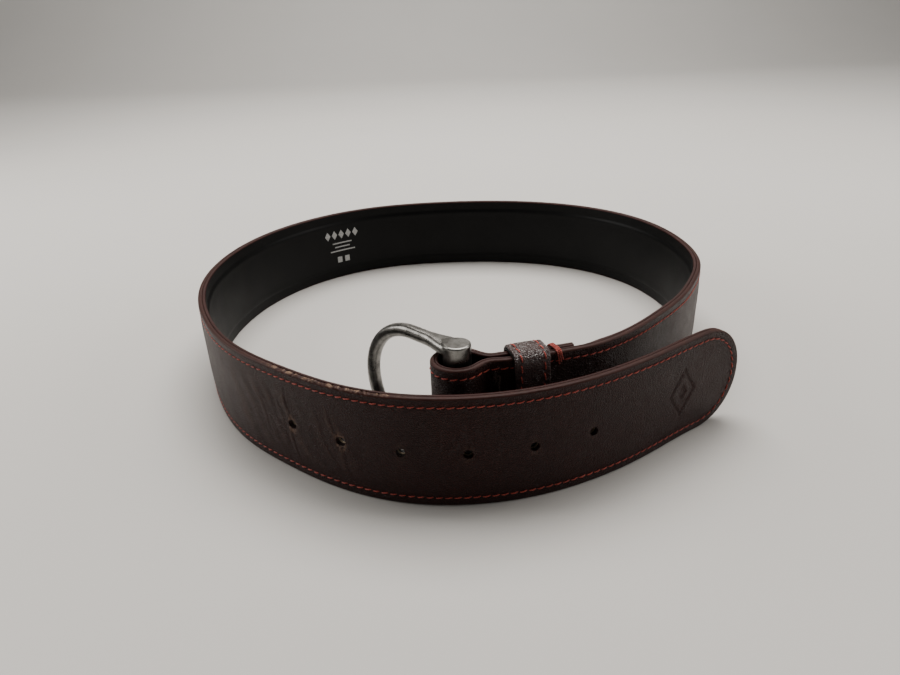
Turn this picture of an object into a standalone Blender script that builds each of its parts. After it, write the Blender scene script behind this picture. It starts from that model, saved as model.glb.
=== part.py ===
"""A leather belt standing on its lower edge in a loose loop, with a D-shaped ring for a buckle.

Metres, +Z up. The origin is on the floor, at the middle of the loop seen from above.
The strap's shape is one line seen from above: its outer face, from the free end (the tip)
clockwise round the loop to the buckle, round the buckle's bar and back as a short flap.
Every layer, thread and hole is placed by its length along that line and its depth from the face.
"""

import bmesh
import bpy
import numpy as np
from math import atan, cos, pi, radians, sin
from mathutils import Matrix, Vector

MM = 0.001

# Strap
BELT_WIDTH = 0.038
LEATHER = 0.0014
CORE = 0.0007
LINING = 0.0009
LAYER_GAP = 0.0002
CORE_WIDTH = 0.028
TIP_DEPTH = 0.018
TIP_POWER = 2.05
CORE_FROM_TIP = 0.012

# Buckle: the ring's upright bar, the leather fold round it and the doubled strap beside it
BAR_CENTRE = (1.9 * MM, 173.6 * MM)
BUCKLE_ANGLE = atan(0.26)
BAR_RADIUS = 0.00435
RING_HEIGHT = 0.048
RING_REACH = 0.0434
RING_STOCK = 0.0044
RING_SQUARENESS = 2.6
RING_CHAMFER = 0.0005
ARM_INSET = 0.00005
FLARE_INSET = 0.0002
RING_AZIMUTH = radians(135)
FLARE_LENGTH = 0.014
WAIST_RADIUS = 0.0030
WAIST_HALF = 0.0029
FOLD_RADIUS = 0.0083
BUCKLE_LIFT = 0.0049
STRAP_SIDE = -0.0061
STACK = 0.0052
NECK = (0.0088, -0.0050)
FLAP_END = 0.037
CORE_ENDS_AT = 0.048
CLOSED_AT = 0.039
SLOT_HALF_HEIGHT = 0.0032
SLOT_FROM = 0.0020
SLOT_BEYOND_FOLD = 0.004

# Prong
PRONG_AZIMUTH = radians(158)
PRONG_LENGTH = 0.0430
PRONG_STRIP = 0.0018
PRONG_STRIP_HEIGHT = 0.0050
PRONG_RADIUS = 0.0014
EYE_CLEARANCE = 0.0002
EYE_TURN = radians(298)

# Prong holes
HOLE_COUNT = 6
HOLE_RADIUS = 0.0015
FIRST_HOLE = 0.0694
HOLE_PITCH = 0.0202
PUNCH_DEPTH = 0.012

# Keeper
KEEPER_WIDTH = 0.0115
KEEPER_FROM = 0.0156
KEEPER_LEATHER = 0.0009
KEEPER_BACKING = 0.0005
KEEPER_SLACK_NEAR = 0.0007
KEEPER_SLACK_FAR = 0.0017
KEEPER_SLACK_EDGE = 0.0003
KEEPER_CORNER = 0.0012

# Threads
THREAD_WIDTH = 0.0006
THREAD_PROUD = 0.0003
THREAD_GAP = 0.0001
STITCH_INSET = 0.003
KEEPER_STITCH_INSET = 0.002
OVERCAST_DIAMETER = 0.0007
OVERCAST_AT = 0.0300
OVERCAST_DROP = 0.0046
OVERCAST_SLANT = 0.0011
OVERCAST_CORNER = 0.0009
NECK_SEAM_AT = 0.0115
NECK_SEAM_WIDTH = 0.0009
NECK_SEAM_INSET = 0.0045
NECK_SEAM_STEPS = 8
FLAP_SEAM_INSET = 0.0015

# Where the strap bends like a hinge when the belt is opened
FLEX_POINT = (-104 * MM, 250 * MM)
FLEX_GAP = 0.0003
THREAD_FLEX_GAP = 0.0020

# The outer face seen from above, in millimetres, from the tip to the doubled strap.
ROUTE = [
    (102.2, 203.5), (84, 193), (66, 180.5), (45, 168.3), (24, 160.6), (3, 158), (-18, 160.6),
    (-38, 169), (-56, 181.5), (-75.5, 199), (-93, 226), (-104.6, 258), (-107, 292), (-99, 328),
    (-77, 362), (-44, 384), (-4, 391), (38, 387), (76, 370), (102, 340), (112.5, 300),
    (108.3, 263), (96.9, 237.5), (87, 220.8), (74, 204.3), (62.1, 191.6), (52.8, 183.8),
    (44.6, 178.9),
]
LIFT_STARTS = (112.5 * MM, 300 * MM)
LIFT_ENDS = (42 * MM, 177.8 * MM)

STATION = 0.008
STATION_TURN = radians(13)
SHORTEST_STATION = 0.0006
FINE_STEP = 0.00025


def buckle_point(along, across):
    """A point of the buckle's own frame, seen from above: along the doubled strap, and across it
    towards the middle of the loop, from the bar's axis."""
    c, s = cos(BUCKLE_ANGLE), sin(BUCKLE_ANGLE)
    return BAR_CENTRE[0] + along * c - across * s, BAR_CENTRE[1] + along * s + across * c


def fold_points():
    """The doubled strap's near side, the neck, the turn round the bar, and the flap's side."""
    far = STRAP_SIDE + STACK
    near_side = [(along, STRAP_SIDE) for along in (0.036, 0.031, 0.026, 0.021)]
    near_side += [(0.0165, STRAP_SIDE + 0.00005), (0.0125, STRAP_SIDE + 0.0004), NECK]
    turn = []
    for degrees in range(-65, -326, -20):
        angle = radians(degrees)
        turn.append((FOLD_RADIUS * cos(angle), FOLD_RADIUS * sin(angle)))
    flap = [(0.0088, 0.0021), (0.0105, 0.0006), (0.0130, 0.0003), (0.0160, 0.0001)]
    flap += [(0.0200, -0.0002), (0.0260, far + 0.0002), (0.0310, far), (FLAP_END, far)]
    return [buckle_point(*point) for point in near_side + turn + flap]


def smooth_line(points, step):
    """A natural cubic spline through the points, resampled evenly by length."""
    p = np.array(points)
    h = np.linalg.norm(np.diff(p, axis=0), axis=1)
    knots = np.concatenate([[0], np.cumsum(h)])
    count = len(p)
    system = np.eye(count)
    right = np.zeros((count, 2))
    for i in range(1, count - 1):
        system[i, i - 1 : i + 2] = h[i - 1], 2 * (h[i - 1] + h[i]), h[i]
        right[i] = 6 * ((p[i + 1] - p[i]) / h[i] - (p[i] - p[i - 1]) / h[i - 1])
    bend = np.linalg.solve(system, right)
    t = np.arange(0, knots[-1], step / 4)
    k = np.clip(np.searchsorted(knots, t, side="right") - 1, 0, count - 2)
    a = ((knots[k + 1] - t) / h[k])[:, None]
    b = 1 - a
    square = (h[k] ** 2)[:, None] / 6
    fine = a * p[k] + b * p[k + 1] + ((a**3 - a) * bend[k] + (b**3 - b) * bend[k + 1]) * square
    run = np.concatenate([[0], np.cumsum(np.linalg.norm(np.diff(fine, axis=0), axis=1))])
    even = np.arange(0, run[-1], step)
    return np.stack([np.interp(even, run, fine[:, axis]) for axis in (0, 1)], axis=1)


LINE = smooth_line([(x * MM, y * MM) for x, y in ROUTE] + fold_points(), FINE_STEP)
CENTRE = (LINE.min(axis=0) + LINE.max(axis=0)) / 2
LINE_LENGTH = (len(LINE) - 1) * FINE_STEP
DIRECTION = np.gradient(LINE, axis=0)
DIRECTION /= np.linalg.norm(DIRECTION, axis=1)[:, None]
LENGTHS = np.arange(len(LINE)) * FINE_STEP


def length_at(point):
    """The length along the line of its point nearest to this one."""
    return LENGTHS[np.argmin(np.linalg.norm(LINE - np.array(point), axis=1))]


def on_face(length, depth, height):
    """The point at this length along the strap, this deep behind the outer face, in model space."""
    x, y = (np.interp(length, LENGTHS, LINE[:, axis]) for axis in (0, 1))
    dx, dy = (np.interp(length, LENGTHS, DIRECTION[:, axis]) for axis in (0, 1))
    size = (dx * dx + dy * dy) ** 0.5
    return x + depth * dy / size - CENTRE[0], y - depth * dx / size - CENTRE[1], height


FLEX = length_at(FLEX_POINT)
CORE_ENDS = length_at(buckle_point(CORE_ENDS_AT, STRAP_SIDE))
CLOSED = length_at(buckle_point(CLOSED_AT, STRAP_SIDE))
LIFT = (length_at(LIFT_STARTS), length_at(LIFT_ENDS))
FULL_POCKET = LEATHER + CORE + 2 * LAYER_GAP
BAR = Vector((BAR_CENTRE[0] - CENTRE[0], BAR_CENTRE[1] - CENTRE[1], 0))


def smoothstep(value, start, end):
    t = min(max((value - start) / (end - start), 0), 1)
    return t * t * (3 - 2 * t)


def edge_height(length):
    """The height of the strap's lower edge: on the floor, then lifted by the ring's lower arm."""
    return BUCKLE_LIFT * smoothstep(length, *LIFT)


def lining_depth(length):
    """The lining's depth: behind the core board, then closing up onto the leather."""
    closing = smoothstep(length, CORE_ENDS + 0.0004, CLOSED)
    return FULL_POCKET - (CORE + LAYER_GAP) * closing


def face_depth(_):
    """The depth of the outer face itself."""
    return 0


def core_depth(_):
    return LEATHER + LAYER_GAP


def flat_lining_depth(_):
    return FULL_POCKET


def core_half_width(_):
    return CORE_WIDTH / 2


def half_width(length, inset=0.0):
    """Half the strap's width, less an inset: full, and rounded off towards the tip."""
    depth = TIP_DEPTH - inset
    t = min(max((length - inset) / depth, 0), 1)
    return (BELT_WIDTH / 2 - inset) * (1 - (1 - t) ** TIP_POWER) ** (1 / TIP_POWER)


def all_stations():
    """Lengths at which every layer has an edge: closer together where the strap turns or narrows."""
    found = [TIP_DEPTH * (1 - cos(radians(angle))) for angle in (8, 22, 36, 50, 64, 78, 90)]
    heading = np.unwrap(np.arctan2(DIRECTION[:, 1], DIRECTION[:, 0]))
    last = int(TIP_DEPTH / FINE_STEP)
    for i in range(last, len(LINE)):
        far = (i - last) * FINE_STEP >= STATION
        if far or abs(heading[i] - heading[last]) >= STATION_TURN:
            found.append(i * FINE_STEP)
            last = i
    return found


STATIONS = all_stations()


def stations(start, end):
    first, last = start + SHORTEST_STATION, end - SHORTEST_STATION
    inner = [length for length in STATIONS if first < length < last]
    return [start] + inner + [end]


def material(name, color, roughness, metallic=0.0):
    found = bpy.data.materials.new(name)
    found.use_nodes = True
    shader = found.node_tree.nodes["Principled BSDF"]
    shader.inputs["Base Color"].default_value = (*color, 1)
    shader.inputs["Roughness"].default_value = roughness
    shader.inputs["Metallic"].default_value = metallic
    return found


def new_object(name, bm, finish, origin, turn=0.0, collection=None):
    """An object from a bmesh in its own space, put at its origin and turned about +Z."""
    bmesh.ops.recalc_face_normals(bm, faces=bm.faces)
    mesh = bpy.data.meshes.new(name)
    bm.to_mesh(mesh)
    bm.free()
    mesh.shade_smooth()
    mesh.set_sharp_from_angle(angle=radians(35))
    if finish:
        mesh.materials.append(finish)
    obj = bpy.data.objects.new(name, mesh)
    obj.location = origin
    obj.rotation_euler.z = turn
    (collection or PARTS).objects.link(obj)
    return obj


def shell(name, grid, thickness, finish, origin=Vector(), turn=0.0, closed=False):
    """A sheet whose visible face is a grid of points, given a thickness behind that face.

    The grid is rows of points: each row runs up the sheet, and the rows follow one another so
    that the visible face is on the left of the way they go, seen from above.
    """
    bm = bmesh.new()
    rows = [[bm.verts.new(Vector(point) - Vector(origin)) for point in row] for row in grid]
    pairs = list(zip(rows, rows[1:]))
    if closed:
        pairs.append((rows[-1], rows[0]))
    for row, after in pairs:
        for k in range(len(row) - 1):
            bm.faces.new((row[k], row[k + 1], after[k + 1], after[k]))
    mesh = bpy.data.meshes.new(name)
    bm.to_mesh(mesh)
    bm.free()
    mesh.materials.append(finish)
    obj = bpy.data.objects.new(name, mesh)
    obj.location = origin
    obj.rotation_euler.z = turn
    PARTS.objects.link(obj)
    solid = obj.modifiers.new("Thickness", "SOLIDIFY")
    solid.thickness = thickness
    solid.offset = -1
    solid.use_even_offset = True
    return obj


def layer(name, start, end, depth, thickness, width, finish, origin=Vector()):
    """One layer of the strap between two lengths. depth and width are functions of the length."""
    grid = []
    for length in stations(start, end):
        middle = edge_height(length) + BELT_WIDTH / 2
        heights = (middle - width(length), middle + width(length))
        grid.append([on_face(length, depth(length), height) for height in heights])
    return shell(name, grid, thickness, finish, origin)


def thread(name, path, width, finish, origin=Vector(), proud=THREAD_PROUD):
    """A flat run of thread on the outer face, along a path of (length, height above the lower
    edge) points."""
    points = np.array(path)
    way = np.gradient(points, axis=0)
    way /= np.linalg.norm(way, axis=1)[:, None]
    grid = []
    for (length, height), (dl, dh) in zip(points, way):
        row = []
        for side in (width / 2, -width / 2):
            at, up = length - side * dh, height + side * dl
            row.append(on_face(at, -THREAD_GAP - proud, edge_height(at) + up))
        grid.append(row)
    if way[0][0] > 0:
        grid = [row[::-1] for row in grid]
    return shell(name, grid, proud, finish, origin)


def strap_row(name, start, end, height, finish):
    return thread(name, [(length, height) for length in stations(start, end)], THREAD_WIDTH, finish)


def tip_row(name, end, finish, origin):
    """The seam of the free end: along the top edge, round the tip and back along the bottom."""
    inset = STITCH_INSET
    lengths = [inset + (TIP_DEPTH - inset) * (1 - cos(radians(turn))) for turn in range(6, 79, 12)]
    lengths += stations(TIP_DEPTH, end)
    upper = [(length, half_width(length, inset)) for length in lengths[::-1]]
    path = upper + [(inset, 0.0)] + [(length, -up) for length, up in upper[::-1]]
    path = [(length, BELT_WIDTH / 2 + up) for length, up in path]
    return thread(name, path, THREAD_WIDTH, finish, origin)


def cutter(name, bm, location, turn):
    obj = new_object(name, bm, None, location, turn, CUTTERS)
    obj.hide_render = True
    obj.display_type = "WIRE"
    return obj


def cut(obj, tool, operation="DIFFERENCE"):
    boolean = obj.modifiers.new(tool.name, "BOOLEAN")
    boolean.object = tool
    boolean.operation = operation
    boolean.solver = "EXACT"


def hole_cutters():
    """A round punch through the strap at each prong hole."""
    tools = []
    for number in range(HOLE_COUNT):
        length = FIRST_HOLE + number * HOLE_PITCH
        centre = Vector(on_face(length, FULL_POCKET / 2, BELT_WIDTH / 2))
        inward = Vector(on_face(length, FULL_POCKET, BELT_WIDTH / 2)) - centre
        bm = bmesh.new()
        bmesh.ops.create_cone(
            bm, cap_ends=True, segments=16, radius1=HOLE_RADIUS, radius2=HOLE_RADIUS, depth=PUNCH_DEPTH
        )
        bmesh.ops.rotate(bm, verts=bm.verts, matrix=Matrix.Rotation(pi / 2, 3, "Y"))
        turn = np.arctan2(inward.y, inward.x)
        tools.append(cutter(f"hole_punch_{number + 1}", bm, centre, turn))
    return tools


def slot_cutter():
    """The slot in the fold that lets the prong swing."""
    reach = FOLD_RADIUS + SLOT_BEYOND_FOLD
    bm = bmesh.new()
    bmesh.ops.create_cube(bm, size=1)
    size = Vector((reach + SLOT_FROM, 2 * reach, 2 * SLOT_HALF_HEIGHT))
    bmesh.ops.scale(bm, verts=bm.verts, vec=size)
    shift = Vector(((SLOT_FROM - reach) / 2, 0, 0))
    bmesh.ops.translate(bm, verts=bm.verts, vec=shift)
    middle = BUCKLE_LIFT + BELT_WIDTH / 2
    return cutter("prong_slot_cutter", bm, BAR + Vector((0, 0, middle)), BUCKLE_ANGLE)


def loft(sections):
    """A bmesh through a row of (centre, side, up, half side, half up, squareness) sections."""
    corners = 12
    bm = bmesh.new()
    rings = []
    for centre, side, up, a, b, power in sections:
        ring = []
        for k in range(corners):
            c, s = cos(2 * pi * k / corners), sin(2 * pi * k / corners)
            x = a * abs(c) ** (2 / power) * (1 if c > 0 else -1)
            y = b * abs(s) ** (2 / power) * (1 if s > 0 else -1)
            ring.append(bm.verts.new(centre + side * x + up * y))
        rings.append(ring)
    for ring, after in zip(rings, rings[1:]):
        for k in range(corners):
            j = (k + 1) % corners
            bm.faces.new((ring[k], ring[j], after[j], after[k]))
    bm.faces.new(rings[0][::-1])
    bm.faces.new(rings[-1])
    return bm


def make_ring(finish):
    """The buckle's frame: an upright round bar with a waist for the prong, and a D in one plane.
    Its own X runs from the bar to the round end."""
    half = RING_HEIGHT / 2
    profile = [(0, half), (BAR_RADIUS - RING_CHAMFER, half), (BAR_RADIUS, half - RING_CHAMFER)]
    profile += [(BAR_RADIUS, WAIST_HALF), (WAIST_RADIUS, WAIST_HALF)]
    profile += [(radius, -height) for radius, height in profile[::-1]]
    bm = bmesh.new()
    verts = [bm.verts.new((radius, 0, height)) for radius, height in profile]
    for one, other in zip(verts, verts[1:]):
        bm.edges.new((one, other))
    mesh = bpy.data.meshes.new("d_ring")
    bm.to_mesh(mesh)
    bm.free()
    mesh.materials.append(finish)
    ring = bpy.data.objects.new("d_ring", mesh)
    ring.location = BAR + Vector((0, 0, half))
    ring.rotation_euler.z = RING_AZIMUTH
    PARTS.objects.link(ring)
    turn = ring.modifiers.new("Turn", "SCREW")
    turn.steps = 32
    turn.render_steps = 32
    turn.use_merge_vertices = True
    turn.merge_threshold = 0.00001
    stock = RING_STOCK / 2
    bend = half - stock - ARM_INSET
    straight = RING_REACH - stock - bend
    side, up = Vector((0, 1, 0)), Vector((0, 0, 1))
    sections = []
    for share in np.linspace(0, 1, 5):
        flare = (BAR_RADIUS - FLARE_INSET - stock) * (1 - smoothstep(share, 0.07, 1))
        centre = Vector((share * FLARE_LENGTH, 0, bend))
        sections.append((centre, side, up, stock + flare, stock, RING_SQUARENESS))
    for degrees in range(90, -1, -10):
        out = Vector((cos(radians(degrees)), 0, sin(radians(degrees))))
        centre = Vector((straight, 0, 0)) + out * bend
        sections.append((centre, side, out, stock, stock, RING_SQUARENESS))
    flip = Vector((1, 1, -1))
    for centre, across, out, a, b, power in sections[-2::-1]:
        sections.append((centre * flip, across, out * flip, a, b, power))
    arms = cutter("d_ring_frame", loft(sections), ring.location, RING_AZIMUTH)
    cut(ring, arms, "UNION")
    return ring


def make_prong(finish):
    """The tongue: a strip curled round the bar's waist that runs out into a round shank.
    Its own X runs along the shank, which stands off on the +Y side."""
    radius = WAIST_RADIUS + EYE_CLEARANCE + PRONG_STRIP / 2
    up = Vector((0, 0, 1))
    sections = []
    steps = 24
    for k in range(steps + 1):
        angle = pi / 2 + EYE_TURN * (1 - k / steps)
        out = Vector((cos(angle), sin(angle), 0))
        sections.append((out * radius, out, up, PRONG_STRIP / 2, PRONG_STRIP_HEIGHT / 2, 5.0))
    side = Vector((0, 1, 0))
    last = PRONG_LENGTH
    for x, a, b, power in (
        (0.0025, PRONG_STRIP / 2, PRONG_STRIP_HEIGHT / 2, 4.0),
        (0.0060, 0.0012, 0.0019, 3.0),
        (0.0100, PRONG_RADIUS, PRONG_RADIUS, 2.0),
        (last - 0.0080, PRONG_RADIUS, PRONG_RADIUS, 2.0),
        (last - 0.0030, PRONG_RADIUS * 0.85, PRONG_RADIUS * 0.9, 2.0),
        (last - 0.0010, PRONG_RADIUS * 0.65, PRONG_RADIUS * 0.7, 2.0),
        (last, PRONG_RADIUS * 0.3, PRONG_RADIUS * 0.3, 2.0),
    ):
        sections.append((Vector((x, radius, 0)), side, up, a, b, power))
    origin = BAR + Vector((0, 0, RING_HEIGHT / 2))
    return new_object("prong", loft(sections), finish, origin, PRONG_AZIMUTH)


def keeper_loop(depth):
    """The keeper's outline across the strap, this deep behind its outer face, as (across, up)
    points from the middle of the doubled strap."""
    wall = KEEPER_LEATHER + THREAD_GAP + KEEPER_BACKING - depth
    near = -STACK / 2 - KEEPER_SLACK_NEAR - wall
    far = STACK / 2 + KEEPER_SLACK_FAR + wall
    top = BELT_WIDTH / 2 + KEEPER_SLACK_EDGE + wall
    radius = KEEPER_CORNER + wall
    corners = [(far, top, 0), (near, top, 90), (near, -top, 180), (far, -top, 270)]
    points = []
    for x, z, start in corners:
        cx = x - radius * (1 if x > 0 else -1)
        cz = z - radius * (1 if z > 0 else -1)
        for degrees in range(start, start + 91, 15):
            angle = radians(degrees)
            points.append((cx + radius * cos(angle), cz + radius * sin(angle)))
    return points


def keeper_band(name, depth, thickness, start, end, finish):
    """A closed band of the keeper. Its own X runs along the strap, away from the bar."""
    grid = []
    for across, up in keeper_loop(depth):
        grid.append([(x, across, up) for x in (end, start)])
    along = KEEPER_FROM + KEEPER_WIDTH / 2
    x, y = buckle_point(along, STRAP_SIDE + STACK / 2)
    middle = BUCKLE_LIFT + BELT_WIDTH / 2
    band = shell(name, grid, thickness, finish, Vector(), BUCKLE_ANGLE, closed=True)
    band.location = (x - CENTRE[0], y - CENTRE[1], middle)
    return band


def overcast(name, rise, finish):
    """A thread sewn over one edge of the doubled strap. rise is +1 at the top edge, -1 below."""
    stand_off = THREAD_PROUD + 2 * THREAD_GAP + OVERCAST_DIAMETER / 2
    near, far = STRAP_SIDE - stand_off, STRAP_SIDE + STACK + stand_off
    edge = BELT_WIDTH / 2 + THREAD_GAP + OVERCAST_DIAMETER / 2
    corner = OVERCAST_CORNER
    outline = [(near, edge - OVERCAST_DROP), (near, edge - corner), (near + corner, edge)]
    outline += [(far - corner, edge), (far, edge - corner), (far, edge - OVERCAST_DROP)]
    curve = bpy.data.curves.new(name, "CURVE")
    curve.dimensions = "3D"
    curve.bevel_depth = OVERCAST_DIAMETER / 2
    curve.bevel_resolution = 2
    curve.use_fill_caps = True
    curve.materials.append(finish)
    spline = curve.splines.new("POLY")
    spline.points.add(len(outline) - 1)
    middle = BUCKLE_LIFT + BELT_WIDTH / 2
    for k, (across, up) in enumerate(outline):
        along = OVERCAST_AT + OVERCAST_SLANT * (1 - 2 * k / (len(outline) - 1))
        x, y = buckle_point(along, across)
        spline.points[k].co = (x - CENTRE[0], y - CENTRE[1], middle + rise * up, 1)
    obj = bpy.data.objects.new(name, curve)
    PARTS.objects.link(obj)
    return obj


def make_strap(leather, lining, board, red, brown):
    """The root body: the back of the loop, the right side, the fold and the flap."""
    start = FLEX + FLEX_GAP / 2
    outer = layer("outer_leather", start, LINE_LENGTH, face_depth, LEATHER, half_width, leather)
    inner = layer("lining", start, LINE_LENGTH, lining_depth, LINING, half_width, lining)
    slot = slot_cutter()
    for piece in (outer, inner):
        cut(piece, slot)
    layer("core_board", start, CORE_ENDS, core_depth, CORE, core_half_width, board)
    first = start + THREAD_FLEX_GAP / 2
    last = LINE_LENGTH - FLAP_SEAM_INSET
    strap_row("stitching_top", first, last, BELT_WIDTH - STITCH_INSET, red)
    strap_row("stitching_bottom", first, last, STITCH_INSET, red)
    far = STRAP_SIDE + STACK
    for name, across in (("neck_stitching_front", STRAP_SIDE), ("neck_stitching_back", far)):
        at = length_at(buckle_point(NECK_SEAM_AT, across))
        heights = np.linspace(NECK_SEAM_INSET, BELT_WIDTH - NECK_SEAM_INSET, NECK_SEAM_STEPS)
        thread(name, [(at, height) for height in heights], NECK_SEAM_WIDTH, brown)
    overcast("overcast_thread_top", 1, red)
    overcast("overcast_thread_bottom", -1, red)


def make_billet(leather, lining, board, red):
    """The free end with the holes, which swings outwards when the belt is opened."""
    end = FLEX - FLEX_GAP / 2
    origin = Vector(on_face(FLEX, 0, 0))
    pieces = []
    for name, start, depth, thickness, width, finish in (
        ("outer_leather_billet", STATIONS[0], face_depth, LEATHER, half_width, leather),
        ("lining_billet", STATIONS[0], flat_lining_depth, LINING, half_width, lining),
        ("core_board_billet", CORE_FROM_TIP, core_depth, CORE, core_half_width, board),
    ):
        pieces.append(layer(name, start, end, depth, thickness, width, finish, origin))
    for tool in hole_cutters():
        for piece in pieces:
            cut(piece, tool)
    tip_row("stitching_billet", end - THREAD_FLEX_GAP / 2, red, origin)


def make_keeper(leather, lining, red):
    half = KEEPER_WIDTH / 2
    keeper_band("keeper_outer", 0, KEEPER_LEATHER, -half, half, leather)
    depth = KEEPER_LEATHER + THREAD_GAP
    keeper_band("keeper_backing", depth, KEEPER_BACKING, -half, half, lining)
    for name, side in (("keeper_stitching_left", -1), ("keeper_stitching_right", 1)):
        x = side * (half - KEEPER_STITCH_INSET)
        across = (x - THREAD_WIDTH / 2, x + THREAD_WIDTH / 2)
        keeper_band(name, -THREAD_GAP - THREAD_PROUD, THREAD_PROUD, *across, red)


for old in list(bpy.data.objects):
    bpy.data.objects.remove(old, do_unlink=True)
PARTS = bpy.data.collections.new("leather_belt")
CUTTERS = bpy.data.collections.new("cutters")
bpy.context.scene.collection.children.link(PARTS)
bpy.context.scene.collection.children.link(CUTTERS)

oxblood = material("oxblood_leather", (0.045, 0.016, 0.013), 0.5)
black = material("black_lining", (0.008, 0.008, 0.009), 0.45)
fibre = material("fibre_board", (0.25, 0.20, 0.14), 0.9)
red_thread = material("red_thread", (0.40, 0.035, 0.02), 0.7)
brown_thread = material("brown_thread", (0.06, 0.03, 0.025), 0.8)
nickel = material("antique_nickel", (0.30, 0.30, 0.29), 0.35, 1.0)

make_strap(oxblood, black, fibre, red_thread, brown_thread)
make_billet(oxblood, black, fibre, red_thread)
make_ring(nickel)
make_prong(nickel)
make_keeper(oxblood, black, red_thread)
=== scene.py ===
"""The looks of a leather belt that stands on edge in a loose loop, with a D-shaped ring buckle.

Metres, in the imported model's frame. Everything soft is placed by its length along the strap's
outer face, seen from above, its height above the strap's lower edge and its depth behind the face.
"""

from math import atan, cos, pi, radians, sin

import bmesh
import bpy
import numpy as np
from mathutils import Matrix, Vector


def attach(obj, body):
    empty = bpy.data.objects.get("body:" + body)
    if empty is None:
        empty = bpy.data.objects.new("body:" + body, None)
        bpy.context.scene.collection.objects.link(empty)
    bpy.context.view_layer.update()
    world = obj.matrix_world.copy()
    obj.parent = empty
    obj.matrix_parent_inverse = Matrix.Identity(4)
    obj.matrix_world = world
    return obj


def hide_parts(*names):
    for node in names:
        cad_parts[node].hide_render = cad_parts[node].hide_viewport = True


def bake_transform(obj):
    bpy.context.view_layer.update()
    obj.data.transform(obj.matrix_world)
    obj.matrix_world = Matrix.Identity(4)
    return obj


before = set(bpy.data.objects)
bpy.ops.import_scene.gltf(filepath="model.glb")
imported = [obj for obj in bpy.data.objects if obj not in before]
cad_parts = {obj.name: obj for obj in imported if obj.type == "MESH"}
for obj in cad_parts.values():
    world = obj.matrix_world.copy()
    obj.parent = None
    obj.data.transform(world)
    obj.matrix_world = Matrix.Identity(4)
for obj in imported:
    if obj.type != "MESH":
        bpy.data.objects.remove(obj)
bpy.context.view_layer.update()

MM = 0.001

# ---------------------------------------------------------------- the belt's dimensions

WIDTH = 0.038
MIDDLE = WIDTH / 2
LEATHER = 0.0014
CORE = 0.0007
LINING = 0.0009
LAYER_GAP = 0.0002
CORE_HALF = 0.014
TIP_DEPTH = 0.018
TIP_POWER = 2.05
STITCH_INSET = 0.003

BAR_CENTRE = (1.9 * MM, 173.6 * MM)
BUCKLE_ANGLE = atan(0.26)
FOLD_RADIUS = 0.0083
BUCKLE_LIFT = 0.0049
STRAP_SIDE = -0.0061
STACK = 0.0052
NECK = (0.0088, -0.0050)
FLAP_END = 0.037
CORE_ENDS_AT = 0.048
CLOSED_AT = 0.039

ROUTE = [
    (102.2, 203.5), (84, 193), (66, 180.5), (45, 168.3), (24, 160.6), (3, 158), (-18, 160.6),
    (-38, 169), (-56, 181.5), (-75.5, 199), (-93, 226), (-104.6, 258), (-107, 292), (-99, 328),
    (-77, 362), (-44, 384), (-4, 391), (38, 387), (76, 370), (102, 340), (112.5, 300),
    (108.3, 263), (96.9, 237.5), (87, 220.8), (74, 204.3), (62.1, 191.6), (52.8, 183.8),
    (44.6, 178.9),
]
LIFT_STARTS = (112.5 * MM, 300 * MM)
LIFT_ENDS = (42 * MM, 177.8 * MM)
FINE_STEP = 0.00025

HOLE_COUNT = 6
HOLE_RADIUS = 0.0015
FIRST_HOLE = 0.0694
HOLE_PITCH = 0.0202


def buckle_point(along, across):
    c, s = cos(BUCKLE_ANGLE), sin(BUCKLE_ANGLE)
    return BAR_CENTRE[0] + along * c - across * s, BAR_CENTRE[1] + along * s + across * c


def fold_points():
    far = STRAP_SIDE + STACK
    near_side = [(along, STRAP_SIDE) for along in (0.036, 0.031, 0.026, 0.021)]
    near_side += [(0.0165, STRAP_SIDE + 0.00005), (0.0125, STRAP_SIDE + 0.0004), NECK]
    turn = []
    for degrees in range(-65, -326, -20):
        angle = radians(degrees)
        turn.append((FOLD_RADIUS * cos(angle), FOLD_RADIUS * sin(angle)))
    flap = [(0.0088, 0.0021), (0.0105, 0.0006), (0.0130, 0.0003), (0.0160, 0.0001)]
    flap += [(0.0200, -0.0002), (0.0260, far + 0.0002), (0.0310, far), (FLAP_END, far)]
    return [buckle_point(*point) for point in near_side + turn + flap]


def smooth_line(points, step):
    """A natural cubic spline through the points, resampled evenly by length."""
    p = np.array(points)
    h = np.linalg.norm(np.diff(p, axis=0), axis=1)
    knots = np.concatenate([[0], np.cumsum(h)])
    count = len(p)
    system = np.eye(count)
    right = np.zeros((count, 2))
    for i in range(1, count - 1):
        system[i, i - 1 : i + 2] = h[i - 1], 2 * (h[i - 1] + h[i]), h[i]
        right[i] = 6 * ((p[i + 1] - p[i]) / h[i] - (p[i] - p[i - 1]) / h[i - 1])
    bend = np.linalg.solve(system, right)
    t = np.arange(0, knots[-1], step / 4)
    k = np.clip(np.searchsorted(knots, t, side="right") - 1, 0, count - 2)
    a = ((knots[k + 1] - t) / h[k])[:, None]
    b = 1 - a
    square = (h[k] ** 2)[:, None] / 6
    fine = a * p[k] + b * p[k + 1] + ((a**3 - a) * bend[k] + (b**3 - b) * bend[k + 1]) * square
    run = np.concatenate([[0], np.cumsum(np.linalg.norm(np.diff(fine, axis=0), axis=1))])
    even = np.arange(0, run[-1], step)
    return np.stack([np.interp(even, run, fine[:, axis]) for axis in (0, 1)], axis=1)


LINE = smooth_line([(x * MM, y * MM) for x, y in ROUTE] + fold_points(), FINE_STEP)
CENTRE = (LINE.min(axis=0) + LINE.max(axis=0)) / 2
LENGTHS = np.arange(len(LINE)) * FINE_STEP
LINE_LENGTH = LENGTHS[-1]
DIRECTION = np.gradient(LINE, axis=0)
DIRECTION /= np.linalg.norm(DIRECTION, axis=1)[:, None]


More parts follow.
